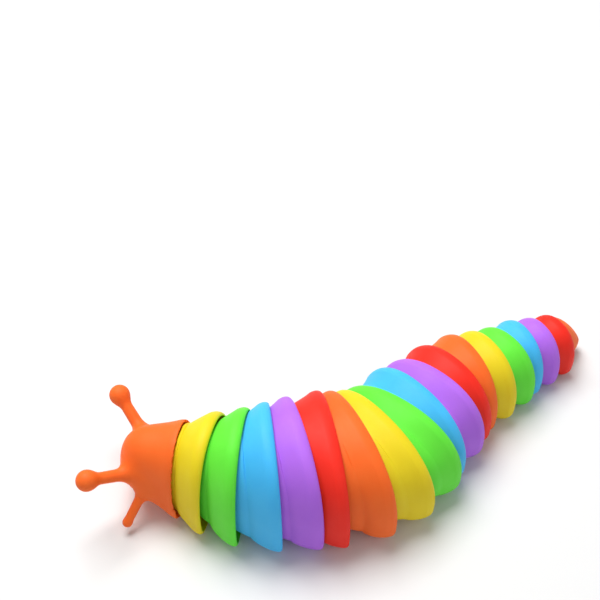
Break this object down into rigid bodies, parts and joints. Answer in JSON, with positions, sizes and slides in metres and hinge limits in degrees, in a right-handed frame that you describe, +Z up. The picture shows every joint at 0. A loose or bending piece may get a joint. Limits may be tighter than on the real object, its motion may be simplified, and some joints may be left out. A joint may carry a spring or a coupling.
{
  "type": "articulated fidget slug toy",
  "caption": "Hinged plastic slug with a head, overlapping body rings in repeating bright colours and a pointed tail, that bends from side to side along its length.",
  "frame": {"origin": "middle of the flat sole strip under the rim of ring_07, the root segment, on the plane that every sole rests on", "axes": "+X from head to tail along the stored S-bend's longest extent, +Y to the side that the bend's tail end leans to, +Z up from the soles"},
  "size_m": [0.1596, 0.0866, 0.036],
  "materials": {
    "orange": "satin, orange",
    "yellow": "satin, yellow",
    "green": "satin, green",
    "blue": "satin, blue",
    "purple": "satin, purple",
    "red": "satin, red",
    "pin": "satin, natural"
  },
  "bodies": {
    "head": {"head": "orange"},
    "ring_01": {"ring_01": "yellow", "pin_01": "pin"},
    "ring_02": {"ring_02": "green", "pin_02": "pin"},
    "ring_03": {"ring_03": "blue", "pin_03": "pin"},
    "ring_04": {"ring_04": "purple", "pin_04": "pin"},
    "ring_05": {"ring_05": "red", "pin_05": "pin"},
    "ring_06": {"ring_06": "orange", "pin_06": "pin"},
    "ring_07": {"ring_07": "yellow", "pin_07": "pin"},
    "ring_08": {"ring_08": "green", "pin_08": "pin"},
    "ring_09": {"ring_09": "blue", "pin_09": "pin"},
    "ring_10": {"ring_10": "purple", "pin_10": "pin"},
    "ring_11": {"ring_11": "red", "pin_11": "pin"},
    "ring_12": {"ring_12": "orange", "pin_12": "pin"},
    "ring_13": {"ring_13": "yellow", "pin_13": "pin"},
    "ring_14": {"ring_14": "green", "pin_14": "pin"},
    "ring_15": {"ring_15": "blue", "pin_15": "pin"},
    "ring_16": {"ring_16": "purple", "pin_16": "pin"},
    "ring_17": {"ring_17": "red", "pin_17": "pin"},
    "tail": {"tail": "orange", "pin_18": "pin"}
  },
  "joints": [
    {"name": "hinge_01", "type": "hinge", "parent": "ring_01", "child": "head", "pos_m": [-0.05379, -0.00765, 0.0085], "axis": [0, 0, 1], "range_deg": [-16, 10]},
    {"name": "hinge_02", "type": "hinge", "parent": "ring_02", "child": "ring_01", "pos_m": [-0.04505, -0.00966, 0.0085], "axis": [0, 0, 1], "range_deg": [-6, 20]},
    {"name": "hinge_03", "type": "hinge", "parent": "ring_03", "child": "ring_02", "pos_m": [-0.03618, -0.0106, 0.0085], "axis": [0, 0, 1], "range_deg": [0, 26]},
    {"name": "hinge_04", "type": "hinge", "parent": "ring_04", "child": "ring_03", "pos_m": [-0.02738, -0.00952, 0.0085], "axis": [0, 0, 1], "range_deg": [-5, 21]},
    {"name": "hinge_05", "type": "hinge", "parent": "ring_05", "child": "ring_04", "pos_m": [-0.01887, -0.00724, 0.0085], "axis": [0, 0, 1], "range_deg": [-17, 9]},
    {"name": "hinge_06", "type": "hinge", "parent": "ring_06", "child": "ring_05", "pos_m": [-0.01029, -0.00557, 0.0085], "axis": [0, 0, 1], "range_deg": [-1, 29]},
    {"name": "hinge_07", "type": "hinge", "parent": "ring_07", "child": "ring_06", "pos_m": [-0.00245, -0.00191, 0.0085], "axis": [0, 0, 1], "range_deg": [-2, 28]},
    {"name": "hinge_08", "type": "hinge", "parent": "ring_07", "child": "ring_08", "pos_m": [0.0043, 0.00336, 0.0085], "axis": [0, 0, 1], "range_deg": [-29, 1]},
    {"name": "hinge_09", "type": "hinge", "parent": "ring_08", "child": "ring_09", "pos_m": [0.00951, 0.01003, 0.0085], "axis": [0, 0, 1], "range_deg": [-4, 26]},
    {"name": "hinge_10", "type": "hinge", "parent": "ring_09", "child": "ring_10", "pos_m": [0.01581, 0.0155, 0.0085], "axis": [0, 0, 1], "range_deg": [-23, 7]},
    {"name": "hinge_11", "type": "hinge", "parent": "ring_10", "child": "ring_11", "pos_m": [0.02121, 0.02171, 0.0085], "axis": [0, 0, 1], "range_deg": [-7, 23]},
    {"name": "hinge_12", "type": "hinge", "parent": "ring_11", "child": "ring_12", "pos_m": [0.0273, 0.02701, 0.0085], "axis": [0, 0, 1], "range_deg": [-1, 29]},
    {"name": "hinge_13", "type": "hinge", "parent": "ring_12", "child": "ring_13", "pos_m": [0.03435, 0.0306, 0.0085], "axis": [0, 0, 1], "range_deg": [-18, 12]},
    {"name": "hinge_14", "type": "hinge", "parent": "ring_13", "child": "ring_14", "pos_m": [0.04103, 0.03446, 0.0085], "axis": [0, 0, 1], "range_deg": [-23, 7]},
    {"name": "hinge_15", "type": "hinge", "parent": "ring_14", "child": "ring_15", "pos_m": [0.04694, 0.03907, 0.0085], "axis": [0, 0, 1], "range_deg": [-2, 28]},
    {"name": "hinge_16", "type": "hinge", "parent": "ring_15", "child": "ring_16", "pos_m": [0.05353, 0.04215, 0.0085], "axis": [0, 0, 1], "range_deg": [-18, 12]},
    {"name": "hinge_17", "type": "hinge", "parent": "ring_16", "child": "ring_17", "pos_m": [0.05974, 0.04545, 0.0085], "axis": [0, 0, 1], "range_deg": [-19, 11]},
    {"name": "hinge_18", "type": "hinge", "parent": "ring_17", "child": "tail", "pos_m": [0.06552, 0.04906, 0.0085], "axis": [0, 0, 1], "range_deg": [0, 30]}
  ]
}
